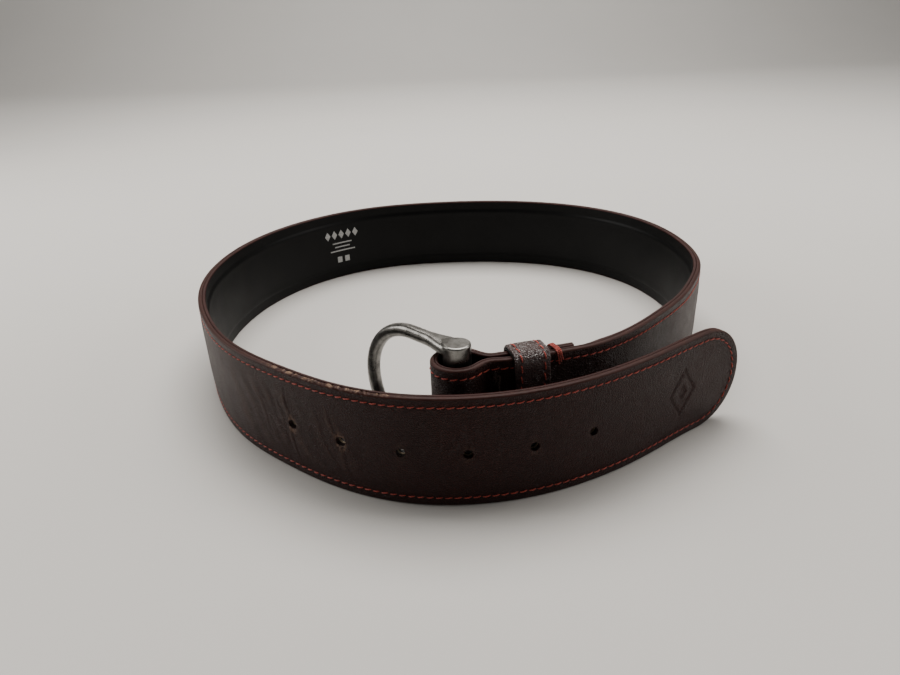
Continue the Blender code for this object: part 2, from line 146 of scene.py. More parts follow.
def length_at(point):
    return LENGTHS[np.argmin(np.linalg.norm(LINE - np.array(point), axis=1))]


def smoothstep(value, start, end):
    t = np.clip((np.asarray(value, float) - start) / (end - start), 0, 1)
    return t * t * (3 - 2 * t)


SPLIT = length_at((6 * MM, 390.6 * MM))
NECK_LENGTH = length_at(buckle_point(*NECK))
CORE_ENDS = length_at(buckle_point(CORE_ENDS_AT, STRAP_SIDE))
CLOSED = length_at(buckle_point(CLOSED_AT, STRAP_SIDE))
LIFT = (length_at(LIFT_STARTS), length_at(LIFT_ENDS))
BAR = Vector((BAR_CENTRE[0] - CENTRE[0], BAR_CENTRE[1] - CENTRE[1], 0))
STRAP_MIDDLE = BUCKLE_LIFT + MIDDLE


def edge_height(length):
    return BUCKLE_LIFT * smoothstep(length, *LIFT)


def at(length, height, depth):
    """Model-space points for arrays of length, height above the lower edge, and depth."""
    length, height, depth = np.broadcast_arrays(*(np.asarray(v, float) for v in (length, height, depth)))
    x, y = (np.interp(length, LENGTHS, LINE[:, axis]) for axis in (0, 1))
    dx, dy = (np.interp(length, LENGTHS, DIRECTION[:, axis]) for axis in (0, 1))
    size = np.hypot(dx, dy)
    x = x + depth * dy / size - CENTRE[0]
    y = y - depth * dx / size - CENTRE[1]
    return np.stack([x, y, edge_height(length) + height], axis=-1)


def half_width(length, inset=0.0):
    t = np.clip((np.asarray(length, float) - inset) / (TIP_DEPTH - inset), 0, 1)
    return (MIDDLE - inset) * (1 - (1 - t) ** TIP_POWER) ** (1 / TIP_POWER)


def bump(value, centre, width):
    return np.exp(-(((value - centre) / width) ** 2))


def hole_lengths():
    return [FIRST_HOLE + number * HOLE_PITCH for number in range(HOLE_COUNT)]


# ---------------------------------------------------------------- materials


class Nodes:
    """A small wrapper that adds nodes to a material and links them."""

    def __init__(self, name):
        self.material = bpy.data.materials.new(name)
        self.material.use_nodes = True
        self.tree = self.material.node_tree
        self.shader = self.tree.nodes["Principled BSDF"]

    def add(self, kind, settings=None, **inputs):
        made = self.tree.nodes.new(kind)
        for key, value in (settings or {}).items():
            setattr(made, key, value)
        for key, value in inputs.items():
            self.put(made, key.replace("_", " "), value)
        return made

    def put(self, made, key, value):
        socket = made.inputs[int(key[1:])] if key[0] == "#" else made.inputs[key]
        if isinstance(value, bpy.types.NodeSocket):
            self.tree.links.new(value, socket)
        else:
            socket.default_value = value

    def math(self, operation, a, b=0.0):
        made = self.add("ShaderNodeMath", {"operation": operation})
        self.put(made, "#0", a)
        self.put(made, "#1", b)
        return made.outputs[0]

    def blend(self, factor, one, other):
        made = self.add("ShaderNodeMix", {"data_type": "RGBA"})
        self.put(made, "#0", factor)
        self.put(made, "#6", (*one, 1) if isinstance(one, tuple) else one)
        self.put(made, "#7", (*other, 1) if isinstance(other, tuple) else other)
        return made.outputs[2]

    def ramp(self, value, low, high):
        made = self.add("ShaderNodeMapRange", Value=value)
        self.put(made, "From Min", low)
        self.put(made, "From Max", high)
        return made.outputs["Result"]

    def place(self, stretch=(1, 1, 1)):
        coordinates = self.add("ShaderNodeTexCoord").outputs["Object"]
        made = self.add("ShaderNodeMapping", Vector=coordinates)
        made.inputs["Scale"].default_value = stretch
        return made.outputs["Vector"]

    def noise(self, scale, detail=3.0, roughness=0.55, where=None):
        made = self.add("ShaderNodeTexNoise", Scale=scale, Detail=detail, Roughness=roughness)
        self.put(made, "Vector", where or self.place())
        return made.outputs["Fac"]

    def cells(self, scale, feature="F1", where=None):
        made = self.add("ShaderNodeTexVoronoi", {"feature": feature}, Scale=scale)
        self.put(made, "Vector", where or self.place())
        return made.outputs["Distance"]

    def attribute(self, name):
        return self.add("ShaderNodeAttribute", {"attribute_name": name}).outputs["Fac"]

    def relief(self, height, distance, strength=1.0, under=None):
        made = self.add("ShaderNodeBump", Height=height, Distance=distance, Strength=strength)
        if under:
            self.put(made, "Normal", under)
        return made.outputs["Normal"]

    def finish(self, color, roughness, normal=None, **plain):
        self.put(self.shader, "Base Color", (*color, 1) if isinstance(color, tuple) else color)
        self.put(self.shader, "Roughness", roughness)
        if normal:
            self.put(self.shader, "Normal", normal)
        for key, value in plain.items():
            self.put(self.shader, key.replace("_", " "), value)
        return self.material


def grain(nodes, cell, depth):
    """Pebble grain: rounded cells with creases between them, over slower wrinkles."""
    warp = nodes.add("ShaderNodeVectorMath", {"operation": "ADD"})
    wobble = nodes.add("ShaderNodeTexNoise", Scale=cell * 0.6, Detail=2.0)
    spread = nodes.add("ShaderNodeVectorMath", {"operation": "SCALE"}, Scale=0.6 / cell)
    nodes.put(spread, "#0", wobble.outputs["Color"])
    nodes.put(wobble, "Vector", nodes.place())
    nodes.put(warp, "#0", nodes.place())
    nodes.put(warp, "#1", spread.outputs["Vector"])
    edge = nodes.cells(cell, "DISTANCE_TO_EDGE", warp.outputs["Vector"])
    pebble = nodes.ramp(edge, 0.0, 0.28)
    wrinkles = nodes.noise(cell * 0.3, 5.0, 0.6)
    height = nodes.math("ADD", nodes.math("MULTIPLY", pebble, 0.6), wrinkles)
    return pebble, nodes.relief(height, depth)


def leather_material(name, dark, light, roughness, cell, depth, specular):
    nodes = Nodes(name)
    pebble, normal = grain(nodes, cell, depth)
    patches = nodes.ramp(nodes.noise(55, 4.0), 0.35, 0.7)
    color = nodes.blend(patches, dark, light)
    # Painted shade: the creases between the pebbles are darkened to 0.55 of the dark tone, where shade would fall in
    # the grain.
    valley = tuple(0.55 * part for part in dark)
    color = nodes.blend(pebble, valley, color)
    worn = nodes.attribute("wear")
    ragged = nodes.ramp(nodes.noise(900, 6.0, 0.7), 0.42, 0.6)
    scuffed = nodes.math("MULTIPLY", worn, ragged)
    color = nodes.blend(scuffed, color, (0.20, 0.125, 0.085))
    rough = nodes.math("ADD", nodes.math("MULTIPLY", nodes.noise(140, 4.0), 0.22), roughness - 0.11)
    rough = nodes.math("ADD", rough, nodes.math("MULTIPLY", scuffed, 0.25))
    return nodes.finish(color, rough, normal, Specular_IOR_Level=specular)


def edge_material():
    nodes = Nodes("painted_edge")
    streaks = nodes.noise(260, 5.0, 0.6, nodes.place((1, 1, 6)))
    color = nodes.blend(nodes.ramp(streaks, 0.35, 0.7), (0.022, 0.0052, 0.0042), (0.040, 0.0120, 0.0098))
    worn = nodes.math("MULTIPLY", nodes.attribute("wear"), nodes.ramp(nodes.noise(700, 6.0, 0.7), 0.4, 0.62))
    color = nodes.blend(worn, color, (0.26, 0.165, 0.11))
    normal = nodes.relief(nodes.noise(1300, 5.0, 0.65), 0.00012, 0.8)
    return nodes.finish(color, nodes.ramp(streaks, -1.2, 2.2), normal, Specular_IOR_Level=0.15)


def lining_material():
    nodes = Nodes("black_lining")
    skin = nodes.cells(2300, "F1")
    color = nodes.blend(nodes.noise(30, 3.0), (0.0014, 0.0014, 0.0015), (0.0034, 0.0034, 0.0036))
    height = nodes.math("ADD", skin, nodes.noise(420, 4.0))
    rough = nodes.math("ADD", nodes.math("MULTIPLY", nodes.noise(70, 3.0), 0.18), 0.36)
    return nodes.finish(color, rough, nodes.relief(height, 0.00005, 0.7), Specular_IOR_Level=0.15)


def board_material():
    nodes = Nodes("fibre_board")
    fibres = nodes.noise(600, 6.0, 0.7, nodes.place((1, 1, 0.3)))
    color = nodes.blend(fibres, (0.14, 0.105, 0.07), (0.32, 0.26, 0.18))
    return nodes.finish(color, 0.9, nodes.relief(fibres, 0.0002))


def thread_material(name, dark, light):
    nodes = Nodes(name)
    twist = nodes.add("ShaderNodeTexWave", {"bands_direction": "DIAGONAL"}, Scale=900, Distortion=2.5)
    nodes.put(twist, "Vector", nodes.place())
    # Painted shade: the thread darkens in the low bands of the twist, which the bump makes the grooves between the
    # plies; the noise adds random tone on top.
    tone_and_groove_shade = nodes.math("MULTIPLY", nodes.ramp(nodes.noise(160, 3.0), 0.3, 0.7), twist.outputs["Fac"])
    color = nodes.blend(tone_and_groove_shade, dark, light)
    height = nodes.math("ADD", twist.outputs["Fac"], nodes.noise(3000, 3.0))
    normal = nodes.relief(height, 0.00009)
    return nodes.finish(color, 0.62, normal, Sheen_Weight=0.25, Sheen_Roughness=0.5)


def nickel_material():
    nodes = Nodes("antique_nickel")
    cloud = nodes.noise(190, 5.0, 0.6)
    pits = nodes.ramp(nodes.cells(1500, "F1"), 0.0, 0.35)
    color = nodes.blend(nodes.ramp(cloud, 0.35, 0.7), (0.115, 0.111, 0.104), (0.33, 0.323, 0.308))
    color = nodes.blend(pits, (0.13, 0.126, 0.119), color)
    brushed = nodes.noise(1600, 3.0, 0.6, nodes.place((1, 1, 0.12)))
    height = nodes.math("ADD", nodes.math("MULTIPLY", brushed, 0.5), nodes.math("MULTIPLY", pits, 0.35))
    rough = nodes.math("ADD", nodes.math("MULTIPLY", cloud, 0.20), 0.19)
    return nodes.finish(color, rough, nodes.relief(height, 0.00004), Metallic=1.0)


def print_material():
    nodes = Nodes("lining_print")
    flakes = nodes.ramp(nodes.noise(2600, 4.0, 0.7), 0.3, 0.5)
    color = nodes.blend(flakes, (0.06, 0.06, 0.06), (0.42, 0.42, 0.41))
    return nodes.finish(color, 0.5, nodes.relief(flakes, 0.00003))


def floor_material():
    nodes = Nodes("studio_floor")
    color = nodes.blend(nodes.noise(3.0, 2.0), (0.56, 0.545, 0.52), (0.60, 0.585, 0.56))
    return nodes.finish(color, 0.75)


OXBLOOD = leather_material(
    "oxblood_leather", (0.0225, 0.0048, 0.0036), (0.037, 0.0084, 0.0062), 0.42, 1450, 0.00034, 0.24
)
KEEPER_SKIN = leather_material(
    "keeper_leather", (0.034, 0.0100, 0.0090), (0.056, 0.0180, 0.0160), 0.30, 1300, 0.00026, 0.8
)
FRAY = leather_material(
    "raw_leather", (0.09, 0.05, 0.035), (0.24, 0.15, 0.10), 0.7, 1500, 0.00005, 0.3
)
EDGE = edge_material()
BLACK = lining_material()
BOARD = board_material()
RED = thread_material("red_thread", (0.32, 0.026, 0.016), (0.66, 0.095, 0.050))
BROWN = thread_material("brown_thread", (0.055, 0.028, 0.022), (0.19, 0.11, 0.085))
NICKEL = nickel_material()
PRINT_INK = print_material()


# ---------------------------------------------------------------- mesh helpers


def mesh_object(name, points, faces, materials, sharp=50):
    mesh = bpy.data.meshes.new(name)
    mesh.from_pydata([tuple(point) for point in points], [], faces)
    for one in materials:
        mesh.materials.append(one)
    mesh.shade_smooth()
    mesh.set_sharp_from_angle(angle=radians(sharp))
    obj = bpy.data.objects.new(name, mesh)
    bpy.context.scene.collection.objects.link(obj)
    return obj


def settle(obj):
    """The object's modifiers made part of its mesh."""
    graph = bpy.context.evaluated_depsgraph_get()
    final = bpy.data.meshes.new_from_object(obj.evaluated_get(graph))
    obj.modifiers.clear()
    obj.data = final
    return obj


def cut(obj, tools):
    for tool in tools:
        boolean = obj.modifiers.new(tool.name, "BOOLEAN")
        boolean.object = tool
        boolean.solver = "EXACT"
    return settle(obj)


def scrap(tools):
    for tool in tools:
        bpy.data.objects.remove(tool, do_unlink=True)


def frames(points):
    """Unit tangents of a row of points, and two unit vectors across each."""
    along = np.gradient(points, axis=0)
    along /= np.linalg.norm(along, axis=1)[:, None] + 1e-12
    side = np.cross(along, np.array([0.0, 0.0, 1.0]))
    flat = np.linalg.norm(side, axis=1) < 0.2
    side[flat] = np.cross(along[flat], np.array([0.0, 1.0, 0.0]))
    side /= np.linalg.norm(side, axis=1)[:, None]
    return side, np.cross(side, along)


def outward(obj):
    """The object with every face turned to face out."""
    bm = bmesh.new()
    bm.from_mesh(obj.data)
    bmesh.ops.recalc_face_normals(bm, faces=bm.faces)
    bm.to_mesh(obj.data)
    bm.free()
    return obj


class Tubes:
    """Many closed tubes gathered in one mesh."""

    def __init__(self, sides=8):
        self.sides = sides
        self.points = []
        self.faces = []

    def add(self, centres, radii):
        centres = np.asarray(centres, float)
        side, up = frames(centres)
        base = len(self.points)
        count = len(centres)
        for centre, x, y, radius in zip(centres, side, up, radii):
            for k in range(self.sides):
                angle = 2 * pi * k / self.sides
                self.points.append(centre + (x * cos(angle) + y * sin(angle)) * radius)
        for i in range(count - 1):
            for k in range(self.sides):
                j = (k + 1) % self.sides
                a, b = base + i * self.sides, base + (i + 1) * self.sides
                self.faces.append((a + k, b + k, b + j, a + j))
        self.faces.append(tuple(base + k for k in range(self.sides)))
        last = base + (count - 1) * self.sides
        self.faces.append(tuple(last + k for k in range(self.sides))[::-1])

    def object(self, name, material):
        return outward(mesh_object(name, self.points, self.faces, [material], 80))


# ---------------------------------------------------------------- the strap's layers

# Steps across the strap as distances from its edge: close together where the edge rounds over.
NEAR_EDGE = [0, 0.07, 0.2, 0.38, 0.6, 0.9, 1.3, 1.8, 2.2, 2.5, 2.75, 3.0, 3.25, 3.5, 3.8, 4.2, 4.7]
NEAR_EDGE += [5.2, 5.7, 6.2]
ACROSS = np.array(NEAR_EDGE + list(np.arange(6.8, 18.9, 0.6)) + [19.0]) * MM
ACROSS = np.concatenate([ACROSS / MIDDLE - 1, (1 - ACROSS / MIDDLE)[-2::-1]])

RANDOM = np.random.default_rng(7)
WAVES = [
    (RANDOM.uniform(40, 330), RANDOM.uniform(-160, 160), RANDOM.uniform(0, 2 * pi)) for _ in range(9)
]


def unevenness(length, height):
    """A slow wander of about one unit, that keeps the leather from looking machined."""
    total = 0
    for along, up, phase in WAVES:
        total = total + np.sin(along * length + up * height + phase)
    return total / 3


def strap_lengths(start, end):
    """Stations along the strap: fine at the tip, over the mark and round the fold."""
    fine = np.concatenate([
        [0.00002, 0.0001, 0.00025, 0.0005, 0.0008, 0.0012, 0.0016],
        np.arange(0.002, 0.045, 0.0005),
        np.arange(0.045, 0.124, 0.001),
        np.arange(0.124, 0.200, 0.0005),
        np.arange(0.200, NECK_LENGTH - 0.014, 0.001),
        np.arange(NECK_LENGTH - 0.014, NECK_LENGTH + 0.058, 0.0006),
        np.arange(NECK_LENGTH + 0.058, LINE_LENGTH - 0.0014, 0.001),
        LINE_LENGTH - np.array([0.0012, 0.0008, 0.0005, 0.0003, 0.00015, 0.00005]),
    ])
    inside = fine[(fine > start + 0.0002) & (fine < end - 0.0002)]
    first = fine[0] if start <= 0 else start
    last = fine[-1] if end >= LINE_LENGTH else end
    return np.unique(np.concatenate([[first], inside, [last]]))


def edge_distance(length, height):
    """How far each point is from the strap's outline: its two edges, the tip and the flap's end."""
    distance = np.minimum(height, WIDTH - height)
    distance = np.minimum(distance, LINE_LENGTH - length)
    near = length < TIP_DEPTH + 0.006
    outline_at = TIP_DEPTH * (1 - np.cos(np.linspace(0.0, pi / 2, 260)))
    outline_at = np.concatenate([outline_at, np.linspace(TIP_DEPTH, TIP_DEPTH + 0.008, 30)])
    outline_up = half_width(outline_at)
    gap = np.hypot(
        length[near][:, None] - outline_at, np.abs(height[near] - MIDDLE)[:, None] - outline_up
    )
    distance[near] = gap.min(axis=1)
    return distance


def rounding(distance, radius):
    """How far a face falls away near a bullnose edge."""
    rest = np.clip(radius - distance, 0, radius)
    return radius - np.sqrt(radius**2 - rest**2)


def core_share(length, height):
    """1 over the core board, 0 beyond its edges and where it has ended."""
    across = 1 - smoothstep(np.abs(height - MIDDLE), CORE_HALF - 0.0003, CORE_HALF + 0.0012)
    along = smoothstep(length, 0.010, 0.0125) * (1 - smoothstep(length, CORE_ENDS, CLOSED))
    return across * along


def padding(length):
    return smoothstep(length, 0.006, 0.016) * (1 - smoothstep(length, CORE_ENDS - 0.01, CLOSED))


def mark(length, height):
    """A plain debossed lozenge with a smaller one inside, near the tip."""
    reach = np.abs(length - 0.0294) / 0.0062 + np.abs(height - MIDDLE) / 0.0085
    ring = bump(reach, 1.0, 0.11)
    inner = 1 - smoothstep(reach, 0.32, 0.45)
    return ring + 0.8 * inner


# Creases round the most used holes: length at the middle, lean, half height, depth and width in mm.
CREASES = [
    (0.1800, 0.42, 0.016, 0.17, 1.9), (0.1762, 0.36, 0.013, 0.20, 1.3), (0.1862, 0.50, 0.015, 0.15, 2.3),
    (0.1706, 0.10, 0.015, 0.20, 0.5), (0.1658, 0.45, 0.013, 0.14, 1.7), (0.1610, 0.38, 0.015, 0.10, 2.0),
    (0.1506, 0.30, 0.014, 0.15, 0.6), (0.1462, 0.40, 0.012, 0.08, 1.7), (0.1930, 0.42, 0.014, 0.12, 2.4),
    (0.1738, 0.22, 0.010, 0.13, 0.6), (0.1560, 0.34, 0.011, 0.10, 0.8), (0.1832, 0.30, 0.009, 0.12, 0.7),
]


def creases(length, height):
    total = np.zeros_like(length)
    up = height - MIDDLE
    for centre, lean, reach, depth, width in CREASES:
        middle = centre + lean * up + 0.0005 * np.sin(up * 420 + centre * 4000)
        fade = 1 - smoothstep(np.abs(up), reach * 0.5, reach)
        valley = bump(length, middle, width * MM)
        total += depth * fade * (valley - 0.6 * bump(length, middle + 2 * width * MM, 1.4 * width * MM))
    return total


SEAMS = [length_at(buckle_point(0.0115, across)) for across in (STRAP_SIDE, STRAP_SIDE + STACK)]


def gathers(length, height):
    """Dents where the neck's threads pull the leather in."""
    total = np.zeros_like(length)
    for seam in SEAMS:
        for number, up in enumerate(np.arange(0.0050, 0.0365, 0.0039)):
            centre = seam + 0.0008 * sin(number * 2.1)
            total += 0.34 * np.exp(-(((length - centre) / 0.0013) ** 2) - ((height - up) / 0.0012) ** 2)
    return total


def torn(length):
    """How much of the top edge has torn away, by the most used holes."""
    stretch = smoothstep(length, 0.128, 0.138) * (1 - smoothstep(length, 0.172, 0.184))
    rough = np.abs(np.sin(length * 2300) * np.sin(length * 830 + 1) + 0.5 * np.sin(length * 5100 + 2))
    return stretch * 0.00034 * rough


def hole_dents(length, height):
    total = np.zeros_like(length)
    for number, centre in enumerate(hole_lengths()):
        out = np.hypot(length - centre, height - MIDDLE)
        pulled = 0.22 if number >= HOLE_COUNT - 2 else 0.12
        total += pulled * (1 - smoothstep(out, HOLE_RADIUS, HOLE_RADIUS + 0.0012))
    return total


def outer_face(length, height, distance):
    """The depth of the visible brown face."""
    crown = 0.28 * smoothstep(distance, 0.0034, 0.010) * padding(length)
    channel = 0.20 * bump(distance, STITCH_INSET, 0.00042)
    depth = channel - crown + 0.05 * unevenness(length, height)
    depth += 0.45 * mark(length, height) + creases(length, height) + hole_dents(length, height)
    depth += gathers(length, height)
    return depth * MM * smoothstep(distance, 0, 0.0008) + rounding(distance, 0.00078)


def outer_back(length, height, distance):
    margin = LEATHER + 0.00024 * padding(length) * (1 - core_share(length, height))
    return margin - rounding(distance, 0.00020)


def lining_face(length, height, distance):
    """The depth of the lining's hidden side, behind the core board."""
    lift = (CORE + 0.00004) * core_share(length, height)
    extra = 0.00024 * padding(length) * (1 - core_share(length, height))
    return LEATHER + LAYER_GAP / 2 + 0.00005 + extra + lift + rounding(distance, 0.00015)


def lining_inner(length, height, distance):
    """The depth of the black face: a flat margin, a soft ridge, then the padded middle."""
    closing = smoothstep(length, CORE_ENDS + 0.0004, CLOSED)
    full = LEATHER + CORE + 2 * LAYER_GAP + LINING - (CORE + LAYER_GAP) * closing
    pad = padding(length)
    ridge = 0.42 * (1 - smoothstep(distance, 0.0046, 0.0062)) - 0.10 * bump(distance, 0.0068, 0.0012)
    wander = 0.05 * unevenness(length + 0.3, height)
    return full - (ridge * pad + 0.04 + wander * pad) * MM - rounding(distance, 0.0006)


def wear_of(length, height, distance):
    """Where the finish has rubbed through: the top edge by the last holes, the tip and the folds."""
    rim = 1 - smoothstep(distance, 0.0003, 0.0013)
    line = 1 - smoothstep(distance, 0.00004, 0.00030)
    stretch = smoothstep(length, 0.126, 0.136) * (1 - smoothstep(length, 0.174, 0.186))
    broken = smoothstep(np.sin(length * 1900) + np.sin(length * 740 + 2) + np.sin(length * 3700), -0.6, 0.9)
    frayed = line * stretch * broken * (height > MIDDLE)
    holes = np.zeros_like(length)
    for number, centre in enumerate(hole_lengths()):
        out = np.hypot(length - centre, (height - MIDDLE) * 0.6)
        amount = 0.75 if number >= HOLE_COUNT - 2 else 0.12
        holes += amount * (1 - smoothstep(out, HOLE_RADIUS, HOLE_RADIUS + 0.0010))
    tip = 0.15 * rim * (1 - smoothstep(length, 0.004, 0.02))
    ridges = 0.16 * np.clip(-creases(length, height) / 0.08, 0, 1)
    return np.clip(frayed + holes + tip + ridges + 0.04 * rim, 0, 1)


def layer(name, start, end, face, back, materials, paint_to, wear=True):
    """A closed layer of the strap between two lengths, with rounded rims where the strap ends."""
    lengths = strap_lengths(start, end)
    grid_l = np.repeat(lengths[:, None], len(ACROSS), axis=1)
    grid_h = MIDDLE + ACROSS[None, :] * half_width(grid_l)
    distance = edge_distance(grid_l, grid_h)
    rows, columns = grid_l.shape
    rim = np.zeros((rows, columns), bool)
    rim[:, [0, -1]] = True
    rim[0] |= start <= 0
    rim[-1] |= end >= LINE_LENGTH
    distance[rim] = 0
    if wear:
        lowered = torn(grid_l) * (1 - smoothstep(distance, 0, 0.002))
        grid_h = np.where(grid_h > MIDDLE, grid_h - lowered, grid_h)
    front_depth = face(grid_l, grid_h, distance)
    back_depth = back(grid_l, grid_h, distance)
    meet = (front_depth + back_depth) / 2
    front = at(grid_l, grid_h, np.where(rim, meet, front_depth)).reshape(-1, 3)
    index = np.arange(rows * columns).reshape(rows, columns)
    hidden = index.copy()
    hidden[~rim] = rows * columns + np.arange((~rim).sum())
    behind = at(grid_l, grid_h, back_depth)[~rim]
    faces = []
    paint = []
    for i in range(rows - 1):
        for j in range(columns - 1):
            near = distance[i : i + 2, j : j + 2].mean() < paint_to
            faces.append((index[i, j], index[i, j + 1], index[i + 1, j + 1], index[i + 1, j]))
            faces.append((hidden[i, j], hidden[i + 1, j], hidden[i + 1, j + 1], hidden[i, j + 1]))
            paint += [near, near]
    for row, flip in ((0, False), (rows - 1, True)):
        if rim[row].all():
            continue
        for j in range(columns - 1):
            ring = [index[row, j], hidden[row, j], hidden[row, j + 1], index[row, j + 1]]
            ring = list(dict.fromkeys(ring))
            faces.append(tuple(ring[::-1] if flip else ring))
            paint.append(False)
    faces = [tuple(int(k) for k in face_) for face_ in faces]
    obj = mesh_object(name, np.concatenate([front, behind]), faces, materials)
    obj.data.polygons.foreach_set("material_index", np.array(paint, np.int32))
    if wear:
        amount = wear_of(grid_l, grid_h, distance)
        values = np.concatenate([amount.reshape(-1), amount[~rim]]).astype(np.float32)
        obj.data.attributes.new("wear", "FLOAT", "POINT").data.foreach_set("value", values)
    return obj


def punches():
    """Round punches for the prong holes; the two most used are stretched along the strap."""
    tools = []
    for number, length in enumerate(hole_lengths()):
        centre, inward = (Vector(at(length, MIDDLE, depth)) for depth in (0.0017, 0.0027))
        bm = bmesh.new()
        bmesh.ops.create_cone(
            bm, cap_ends=True, segments=40, radius1=HOLE_RADIUS, radius2=HOLE_RADIUS, depth=0.010
        )
        stretch = 1.22 if number >= HOLE_COUNT - 2 else 1.0
        bmesh.ops.rotate(bm, verts=bm.verts, matrix=Matrix.Rotation(pi / 2, 3, "Y"))
        bmesh.ops.scale(bm, verts=bm.verts, vec=Vector((1, stretch, 1)))
        mesh = bpy.data.meshes.new("punch")
        bm.to_mesh(mesh)
        bm.free()
        tool = bpy.data.objects.new(f"punch_{number}", mesh)
        tool.location = centre
        tool.rotation_euler.z = np.arctan2(*(inward - centre).yx)
        bpy.context.scene.collection.objects.link(tool)
        tools.append(tool)
    return tools


def slot_tool():
    """The prong's slot in the fold: a round-ended opening over the fold's far half."""
    bm = bmesh.new()
    bmesh.ops.create_cube(bm, size=1)
    reach = FOLD_RADIUS + 0.004
    bmesh.ops.scale(bm, verts=bm.verts, vec=Vector((reach + 0.002, 2 * reach, 0.0064)))
    bmesh.ops.translate(bm, verts=bm.verts, vec=Vector(((0.002 - reach) / 2, 0, 0)))
    ends = [e for e in bm.edges if abs(e.verts[0].co.y - e.verts[1].co.y) > reach]
    ends = [e for e in ends if e.verts[0].co.x > 0]
    bmesh.ops.bevel(bm, geom=ends, offset=0.0028, segments=8, affect="EDGES", profile=0.5)
    mesh = bpy.data.meshes.new("slot")
    bm.to_mesh(mesh)
    bm.free()
    tool = bpy.data.objects.new("slot", mesh)
    tool.location = BAR + Vector((0, 0, STRAP_MIDDLE))
    tool.rotation_euler.z = BUCKLE_ANGLE
    bpy.context.scene.collection.objects.link(tool)
    return tool


def filler(name, start, end, material):
    """The core board, closed, with square edges."""
    lengths = strap_lengths(start, end)
    lengths = lengths[:: 2]
    ring = [(LEATHER + LAYER_GAP / 2, -1), (LEATHER + LAYER_GAP / 2, 1)]
    ring += [(LEATHER + LAYER_GAP / 2 + CORE, 1), (LEATHER + LAYER_GAP / 2 + CORE, -1)]
    points = []
    for length in lengths:
        width = min(CORE_HALF, float(half_width(length)) - 0.004)
        points += [at(length, MIDDLE + side * width, depth) for depth, side in ring]
    faces = []
    for i in range(len(lengths) - 1):
        for k in range(4):
            j = (k + 1) % 4
            faces.append((4 * i + k, 4 * i + j, 4 * i + 4 + j, 4 * i + 4 + k))
    faces.append((3, 2, 1, 0))
    last = 4 * (len(lengths) - 1)
    faces.append((last, last + 1, last + 2, last + 3))
    return mesh_object(name, points, faces, [material], 40)


# ---------------------------------------------------------------- stitching

PITCH = 0.0029
STITCH_LENGTH = 0.0025
THREAD = 0.00021


def stitch_run(tubes, path, pitch=PITCH, radius=THREAD, sit=0.00012, seed=1):
    """Separate slanted stitches along a path of (length, height) points on the outer face."""
    random = np.random.default_rng(seed)
    path = np.array(path, float)
    run = np.concatenate([[0], np.cumsum(np.linalg.norm(np.diff(path, axis=0), axis=1))])
    share = STITCH_LENGTH / PITCH * pitch
    for start in np.arange(pitch / 2, run[-1] - pitch, pitch):
        t = np.linspace(0, 1, 8)
        where = start + share * t
        points = np.stack([np.interp(where, run, path[:, axis]) for axis in (0, 1)], axis=1)
        way = points[-1] - points[0]
        way /= np.linalg.norm(way) + 1e-12
        slant = (0.5 - t) * (0.00042 + random.uniform(-0.00006, 0.00006))
        points = points + slant[:, None] * np.array([-way[1], way[0]])
        arch = np.sin(pi * t) ** 0.6
        depth = sit + 0.00030 - 0.00046 * arch
        centres = at(points[:, 0], points[:, 1], depth)
        tubes.add(centres, radius * (0.72 + 0.28 * arch))


def edge_path(start, end, height):
    lengths = np.arange(start, end, 0.001)
    return [(length, height) for length in lengths]


def tip_path(end):
    """Down one edge, round the tip and back along the other, a stitch's inset from the outline."""
    inset = STITCH_INSET
    turn = [inset + (TIP_DEPTH - inset) * (1 - cos(angle)) for angle in np.linspace(0, pi / 2, 40)]
    upper = [(length, MIDDLE + float(half_width(length, inset))) for length in turn]
    straight = [(length, WIDTH - inset) for length in np.arange(TIP_DEPTH + 0.001, end, 0.001)]
    top = (upper + straight)[::-1]
    bottom = [(length, WIDTH - height) for length, height in top[::-1]]
    return top + bottom[1:]


def make_stitching():
    front = Tubes()
    stitch_run(front, tip_path(SPLIT), seed=3)
    rear = Tubes()
    for height in (STITCH_INSET, WIDTH - STITCH_INSET):
        stitch_run(rear, edge_path(SPLIT, LINE_LENGTH - 0.002, height), seed=4)
    return front.object("stitching_front", RED), rear.object("stitching_rear", RED)


# ---------------------------------------------------------------- print on the lining


# The print's plain shapes: along, height, half length, half height in mm, and whether pointed.
PRINT = [(along, 26.0, 1.8, 2.6, True) for along in (-9.2, -4.6, 0, 4.6, 9.2)]
PRINT += [(0, 21.0, 6.4, 0.35, False), (0, 18.7, 5.0, 0.35, False), (0, 16.4, 8.2, 0.35, False)]
PRINT += [(-2.5, 11.0, 1.5, 1.7, False), (2.5, 11.0, 1.5, 1.7, False)]


def make_print():
    """Plain pale diamonds, lines and squares printed on the lining, at the back left."""
    centre = length_at((-62 * MM, 372 * MM))
    points = []
    faces = []
    for along, height, half_long, half_tall, pointed in PRINT:
        columns = np.linspace(-half_long, half_long, 2 * max(round(half_long / 0.6), 3) + 1)
        base = len(points)
        for x in columns:
            share = 1 - abs(x) / half_long if pointed else 1
            reach = (0.05 + (half_tall - 0.05) * share) * MM
            length = centre + (along + x) * MM
            spot = (np.array([length]), np.array([height * MM]), np.array([0.012]))
            inner = float(lining_inner(*spot)[0])
            for depth in (inner + 0.00003, inner - 0.00006):
                for side in (-1, 1):
                    points.append(at(length, height * MM + side * reach, depth))
        for i in range(len(columns) - 1):
            a, b = base + 4 * i, base + 4 * i + 4
            faces += [(a, a + 1, b + 1, b), (a + 2, b + 2, b + 3, a + 3)]
            faces += [(a, b, b + 2, a + 2), (a + 1, a + 3, b + 3, b + 1)]
        last = base + 4 * (len(columns) - 1)
        faces += [(base, base + 2, base + 3, base + 1), (last, last + 1, last + 3, last + 2)]
    return outward(mesh_object("lining_print", points, faces, [PRINT_INK], 40))


# ---------------------------------------------------------------- buckle

